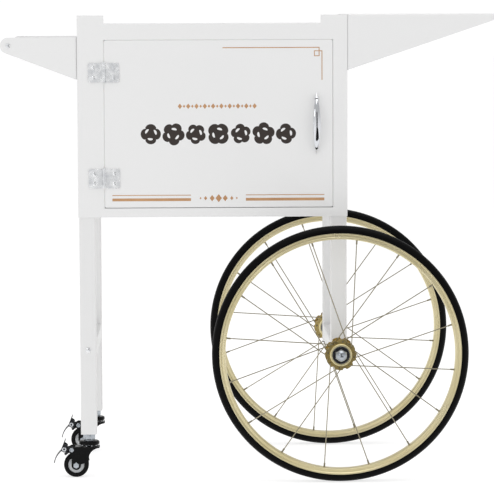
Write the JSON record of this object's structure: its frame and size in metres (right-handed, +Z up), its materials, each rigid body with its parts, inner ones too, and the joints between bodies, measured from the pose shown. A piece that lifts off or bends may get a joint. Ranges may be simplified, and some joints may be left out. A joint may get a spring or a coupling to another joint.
{
  "type": "popcorn cart",
  "caption": "Popcorn cart: sheet-steel cabinet on square legs with a hinged door, machine platform, push bar, side tray, spoked wheels and swivel casters.",
  "frame": {"origin": "on the ground, under the middle of the cart's bounding box", "axes": "+X along the cart from the push bar to the side tray, +Y from the door to the back, +Z up"},
  "size_m": [0.984, 0.584, 0.923],
  "materials": {
    "white_powder_coat": "satin powder coat on sheet steel, fine orange peel",
    "white_powder_coat_tube": "satin powder coat on square steel tube",
    "chrome_plate": "polished chrome plating",
    "zinc_plate": "bright zinc or nickel plated steel",
    "gold_anodised": "pale gold anodised aluminium",
    "brass_spoke": "brass coloured plated wire",
    "bearing_steel": "dark bearing rings and seals",
    "rubber_tyre": "matt black rubber",
    "black_steel": "black coated pressed steel",
    "black_plastic": "moulded black plastic",
    "caster_core": "moulded light grey plastic",
    "pedal_steel": "grey spring steel"
  },
  "bodies": {
    "cart": {"front_frame": "white_powder_coat", "side_panel_left": "white_powder_coat", "side_panel_right": "white_powder_coat", "back_panel": "white_powder_coat", "bottom_panel": "white_powder_coat", "top_platform": "white_powder_coat", "back_panel_screws": "zinc_plate", "leg_front_left": "white_powder_coat_tube", "leg_back_left": "white_powder_coat_tube", "leg_front_right": "white_powder_coat_tube", "leg_back_right": "white_powder_coat_tube", "leg_plugs": "black_plastic", "leg_bolts": "zinc_plate", "crossbar_left": "white_powder_coat_tube", "crossbar_right": "white_powder_coat_tube", "crossbar_screws": "zinc_plate", "push_bar_arm_front": "white_powder_coat", "push_bar_arm_back": "white_powder_coat", "push_bar": "white_powder_coat_tube", "push_bar_screws": "zinc_plate", "arm_bolts": "zinc_plate", "side_tray": "white_powder_coat", "tray_bolts": "zinc_plate", "hinge_frame_leaves": "zinc_plate", "hinge_pins": "zinc_plate", "hinge_frame_screws": "zinc_plate", "magnetic_catch": "black_plastic", "axle": "zinc_plate", "axle_spacers": "zinc_plate", "axle_washers": "zinc_plate", "axle_dome_nuts": "chrome_plate", "caster_stems": "chrome_plate", "caster_heads": "black_steel", "caster_balls": "chrome_plate"},
    "door": {"door_panel": "white_powder_coat", "hinge_door_leaves": "zinc_plate", "hinge_door_screws": "zinc_plate", "door_handle": "chrome_plate", "handle_screws": "zinc_plate", "strike_plate": "zinc_plate"},
    "front_wheel": {"tyre_front": "rubber_tyre", "rim_front": "gold_anodised", "spokes_front": "brass_spoke", "hub_front": "gold_anodised", "bearings_front": "bearing_steel"},
    "back_wheel": {"tyre_back": "rubber_tyre", "rim_back": "gold_anodised", "spokes_back": "brass_spoke", "hub_back": "gold_anodised", "bearings_back": "bearing_steel"},
    "front_caster": {"caster_front_fork": "black_steel", "caster_front_pins": "chrome_plate"},
    "front_caster_pedal": {"caster_front_pedal": "pedal_steel"},
    "front_caster_wheel": {"caster_front_core": "caster_core", "caster_front_tyre": "rubber_tyre"},
    "back_caster": {"caster_back_fork": "black_steel", "caster_back_pins": "chrome_plate"},
    "back_caster_pedal": {"caster_back_pedal": "pedal_steel"},
    "back_caster_wheel": {"caster_back_core": "caster_core", "caster_back_tyre": "rubber_tyre"}
  },
  "joints": [
    {"name": "door_hinge", "type": "hinge", "parent": "cart", "child": "door", "pos_m": [-0.2875, -0.193, 0.707], "axis": [0, 0, -1], "range_deg": [0, 170]},
    {"name": "front_wheel_spin", "type": "hinge", "parent": "cart", "child": "front_wheel", "pos_m": [0.1775, -0.25, 0.254], "axis": [0, 1, 0], "continuous": true},
    {"name": "back_wheel_spin", "type": "hinge", "parent": "cart", "child": "back_wheel", "pos_m": [0.1775, 0.25, 0.254], "axis": [0, 1, 0], "continuous": true},
    {"name": "front_caster_swivel", "type": "hinge", "parent": "cart", "child": "front_caster", "pos_m": [-0.3225, -0.172, 0.067], "axis": [0, 0, 1], "continuous": true},
    {"name": "front_caster_roll", "type": "hinge", "parent": "front_caster", "child": "front_caster_wheel", "pos_m": [-0.3485, -0.172, 0.025], "axis": [0, 1, 0], "continuous": true},
    {"name": "front_brake_pedal", "type": "hinge", "parent": "front_caster", "child": "front_caster_pedal", "pos_m": [-0.3575, -0.172, 0.056], "axis": [0, -1, 0], "range_deg": [0, 10]},
    {"name": "back_caster_swivel", "type": "hinge", "parent": "cart", "child": "back_caster", "pos_m": [-0.3225, 0.172, 0.067], "axis": [0, 0, 1], "continuous": true},
    {"name": "back_caster_roll", "type": "hinge", "parent": "back_caster", "child": "back_caster_wheel", "pos_m": [-0.3485, 0.172, 0.025], "axis": [0, 1, 0], "continuous": true},
    {"name": "back_brake_pedal", "type": "hinge", "parent": "back_caster", "child": "back_caster_pedal", "pos_m": [-0.3575, 0.172, 0.056], "axis": [0, -1, 0], "range_deg": [0, 10]}
  ]
}
